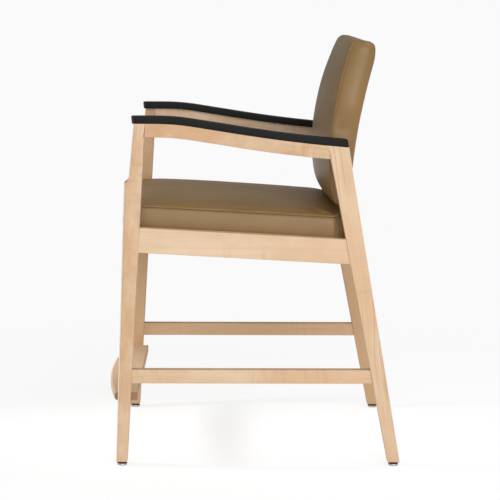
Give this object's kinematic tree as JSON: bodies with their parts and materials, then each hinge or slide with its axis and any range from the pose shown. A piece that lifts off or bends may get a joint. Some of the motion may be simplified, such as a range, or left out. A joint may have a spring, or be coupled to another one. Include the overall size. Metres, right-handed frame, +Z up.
{
  "type": "patient chair",
  "caption": "High-seat patient chair: light wooden frame with sloping arms under black moulded caps, upholstered seat and back, a bowed foot board and levelling glides.",
  "frame": {"origin": "middle of the chair's footprint on the floor, halfway between the side frames and halfway between the foot board's front and the rear feet", "axes": "+Z up, -Y towards the front of the chair, +X towards the sitter's left"},
  "size_m": [0.61, 0.6493, 0.9298],
  "materials": {
    "maple": "satin",
    "hardwood": "matte",
    "plywood": "matte",
    "moulded_black": "satin",
    "upholstery": "satin",
    "foam": "matte",
    "dust_cloth": "matte",
    "spacer_black": "matte",
    "plated_steel": "satin",
    "brass": "satin",
    "glide_steel": "satin",
    "glide_rubber": "matte"
  },
  "bodies": {
    "chair": {"front_leg_left": "maple", "front_leg_right": "maple", "rear_leg_left": "maple", "rear_leg_right": "maple", "arm_rail_left": "maple", "arm_rail_right": "maple", "seat_side_rail_left": "maple", "seat_side_rail_right": "maple", "side_stretcher_left": "maple", "side_stretcher_right": "maple", "front_seat_rail": "maple", "rear_seat_rail": "maple", "foot_board": "maple", "corner_blocks": "hardwood", "side_rail_dowels": "hardwood", "cross_rail_dowels": "hardwood", "stretcher_dowels": "hardwood", "arm_rail_dowels": "hardwood", "foot_board_dowels": "hardwood", "back_cleats": "hardwood", "seat_deck": "plywood", "back_panel": "plywood", "arm_cap_left": "moulded_black", "arm_cap_right": "moulded_black", "seat_cover": "upholstery", "back_cover": "upholstery", "back_rear_cover": "upholstery", "seat_foam": "foam", "back_foam": "foam", "dust_cover": "dust_cloth", "back_spacers": "spacer_black", "corner_block_screws": "plated_steel", "deck_screws": "plated_steel", "arm_cap_bolts": "plated_steel", "back_pins": "plated_steel", "glide_inserts": "plated_steel", "arm_cap_inserts": "brass"},
    "glide_front_left": {"glide_base_front_left": "glide_steel", "glide_ring_front_left": "glide_rubber", "glide_stem_front_left": "plated_steel"},
    "glide_front_right": {"glide_base_front_right": "glide_steel", "glide_ring_front_right": "glide_rubber", "glide_stem_front_right": "plated_steel"},
    "glide_rear_left": {"glide_base_rear_left": "glide_steel", "glide_ring_rear_left": "glide_rubber", "glide_stem_rear_left": "plated_steel"},
    "glide_rear_right": {"glide_base_rear_right": "glide_steel", "glide_ring_rear_right": "glide_rubber", "glide_stem_rear_right": "plated_steel"}
  },
  "joints": [
    {"name": "glide_front_left_screw", "type": "slide", "parent": "chair", "child": "glide_front_left", "axis": [0, 0, -1], "range_m": [0, 0.008]},
    {"name": "glide_front_right_screw", "type": "slide", "parent": "chair", "child": "glide_front_right", "axis": [0, 0, -1], "range_m": [0, 0.008]},
    {"name": "glide_rear_left_screw", "type": "slide", "parent": "chair", "child": "glide_rear_left", "axis": [0, 0, -1], "range_m": [0, 0.008]},
    {"name": "glide_rear_right_screw", "type": "slide", "parent": "chair", "child": "glide_rear_right", "axis": [0, 0, -1], "range_m": [0, 0.008]}
  ]
}
